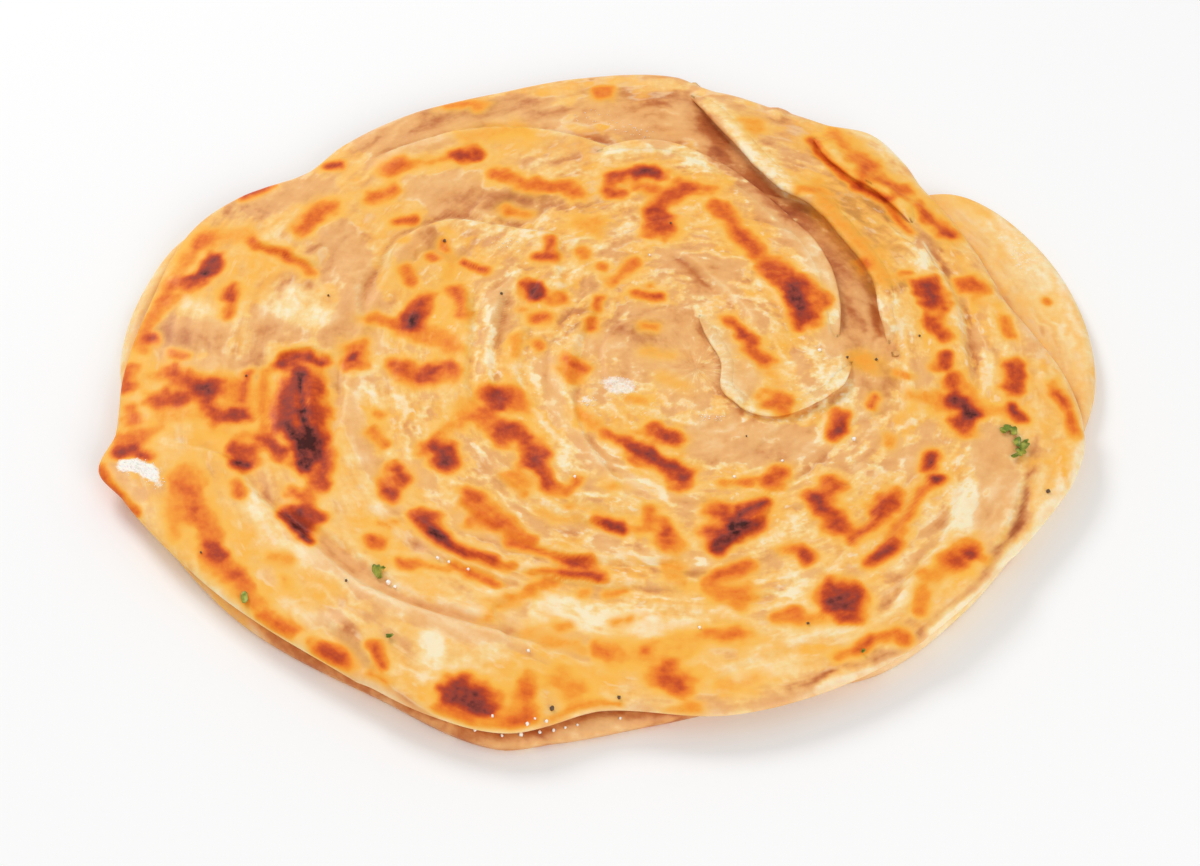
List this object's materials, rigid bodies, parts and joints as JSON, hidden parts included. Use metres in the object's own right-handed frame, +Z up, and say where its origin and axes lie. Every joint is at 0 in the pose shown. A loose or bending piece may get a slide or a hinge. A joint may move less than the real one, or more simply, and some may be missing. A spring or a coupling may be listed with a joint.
{
  "type": "paratha flatbread",
  "caption": "Round layered flatbread of coiled, pressed dough, griddled in brown spots, with an outer fold over the coil and a lower ply that peeks out at the rim.",
  "frame": {"origin": "on the flat base, under the middle of the bread's box", "axes": "+Z up through the bread's thickness, +X along its longest side towards the lower ply's lobe, +Y towards the outer fold"},
  "size_m": [0.1862, 0.1661, 0.0105],
  "materials": {
    "crust": "satin"
  },
  "bodies": {
    "root": {"paratha": "crust"}
  },
  "joints": []
}
